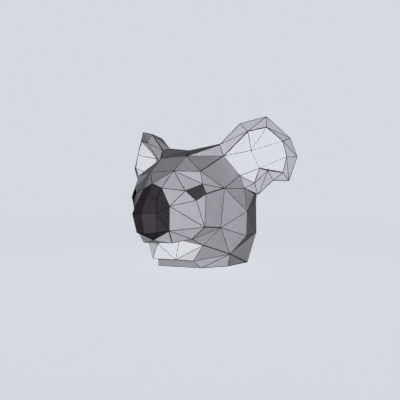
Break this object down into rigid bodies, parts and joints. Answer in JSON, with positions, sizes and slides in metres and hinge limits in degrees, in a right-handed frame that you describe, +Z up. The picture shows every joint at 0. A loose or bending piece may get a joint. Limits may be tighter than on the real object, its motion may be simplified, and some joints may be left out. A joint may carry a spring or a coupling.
{
  "type": "paper koala mask",
  "caption": "Full-head koala mask folded from card: faceted grey head, dark nose, white chin and ear cups, two eye openings and an open neck rim.",
  "frame": {"origin": "on the plane of the neck rim, in the middle of the bounding box's width and depth", "axes": "+Z up from the rim to the ears, the face looks along -Y, +X is the mask's own left"},
  "size_m": [0.5004, 0.42, 0.3697],
  "materials": {
    "grey_card": "matt grey card, folded along scored lines",
    "white_card": "matt white card, folded along scored lines",
    "dark_card": "matt brown-black card, folded along scored lines"
  },
  "bodies": {
    "root": {"nose": "dark_card", "bridge": "grey_card", "brow_left": "grey_card", "brow_right": "grey_card", "muzzle_left": "grey_card", "muzzle_right": "grey_card", "lip": "grey_card", "forehead": "grey_card", "crown": "grey_card", "cheek_left": "grey_card", "cheek_right": "grey_card", "chin": "white_card", "neck_band": "grey_card", "nape_left": "grey_card", "nape_right": "grey_card", "ear_cup_left": "white_card", "ear_cup_right": "white_card", "ear_rim_left": "grey_card", "ear_rim_right": "grey_card", "ear_side_left": "grey_card", "ear_side_right": "grey_card", "ear_back_left": "grey_card", "ear_back_right": "grey_card"}
  },
  "joints": []
}
